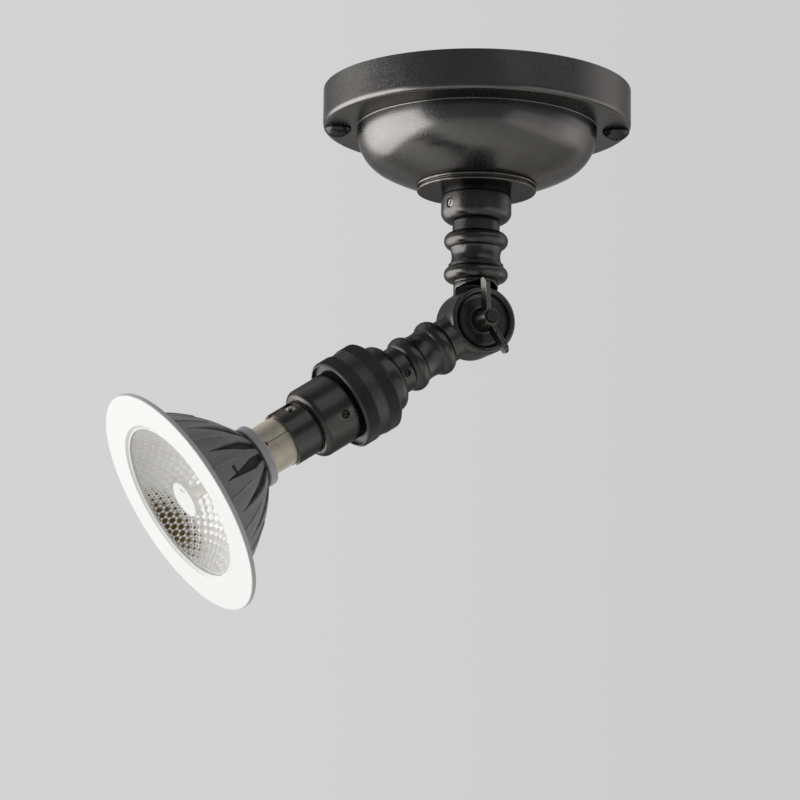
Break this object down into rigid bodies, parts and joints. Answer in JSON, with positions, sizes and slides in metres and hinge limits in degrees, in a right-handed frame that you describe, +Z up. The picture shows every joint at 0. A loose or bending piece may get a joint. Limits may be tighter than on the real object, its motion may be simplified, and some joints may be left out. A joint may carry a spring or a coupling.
{
  "type": "ceiling spotlight",
  "caption": "Ceiling spotlight: a spun rose, a swivelling turned column, a knuckle locked by a wing nut, and a bayonet lampholder with a finned reflector lamp.",
  "frame": {"origin": "centre of the rose's face on the ceiling", "axes": "+Z up into the ceiling, X along the bracket through the two cover screws"},
  "size_m": [0.225, 0.1681, 0.2362],
  "materials": {
    "bronze": "dark patinated, hand rubbed",
    "steel": "zinc plated",
    "nickel": "warm nickel plate",
    "brass": "plain",
    "solder": "dull",
    "housing": "satin grey coat",
    "white": "satin white",
    "bright_bowl": "faceted, metallised",
    "phosphor": "matte",
    "board": "matte",
    "dark_plastic": "moulded",
    "pale_plastic": "moulded",
    "wire": "smooth"
  },
  "bodies": {
    "rose": {"ceiling_bracket": "steel", "rose_cover": "bronze", "rose_screws": "bronze", "rose_boss": "bronze", "rose_spigot": "bronze", "spigot_washer": "steel", "spigot_locknut": "steel", "terminal_block": "pale_plastic", "terminal_screws": "steel", "earth_screw": "steel", "rose_wires": "wire"},
    "column": {"column_stem": "bronze", "column_set_screw": "steel", "knuckle_back": "bronze", "knuckle_bolt": "bronze", "knuckle_washer": "dark_plastic", "column_wires": "wire"},
    "wing_nut": {"wing_nut": "bronze"},
    "arm": {"knuckle_front": "bronze", "nut_washer": "steel", "arm_stem": "bronze", "arm_wires": "wire", "holder_cap": "bronze", "holder_cap_screw": "steel", "holder_body": "bronze", "holder_body_screw": "steel", "holder_insert": "dark_plastic", "insert_terminals": "brass", "insert_screws": "brass", "plunger_springs": "steel"},
    "shade_ring": {"shade_ring": "bronze"},
    "plungers": {"contact_plungers": "brass"},
    "lamp": {"lamp_cap": "nickel", "lamp_pins": "nickel", "cap_insulator": "dark_plastic", "lamp_contacts": "solder", "driver_board": "board", "heatsink": "housing", "front_ring": "white", "reflector": "bright_bowl", "led_board": "board", "led_chip": "phosphor", "centre_post": "white", "centre_cap": "white"}
  },
  "joints": [
    {"name": "column_swivel", "type": "hinge", "parent": "rose", "child": "column", "pos_m": [0, 0, -0.06], "axis": [0, 0, 1], "range_deg": [-165, 165]},
    {"name": "arm_tilt", "type": "hinge", "parent": "column", "child": "arm", "pos_m": [0, 0, -0.1046], "axis": [0.3827, -0.9239, 0], "range_deg": [-38.4, 151.6]},
    {"name": "wing_nut_turn", "type": "hinge", "parent": "column", "child": "wing_nut", "pos_m": [0, 0, -0.1046], "axis": [0.3827, -0.9239, 0], "continuous": true},
    {"name": "shade_ring_turn", "type": "hinge", "parent": "arm", "child": "shade_ring", "pos_m": [0, 0, -0.1046], "axis": [-0.7713, -0.3195, -0.5505], "continuous": true},
    {"name": "lamp_press", "type": "slide", "parent": "arm", "child": "plungers", "axis": [0.7713, 0.3195, 0.5505], "range_m": [0, 0.002], "stiffness_N_per_m": 1500, "springref_m": -0.006, "deforming": ["plunger_springs"]},
    {"name": "lamp_twist", "type": "hinge", "parent": "plungers", "child": "lamp", "pos_m": [0, 0, -0.1046], "axis": [-0.7713, -0.3195, -0.5505], "range_deg": [0, 33]}
  ]
}
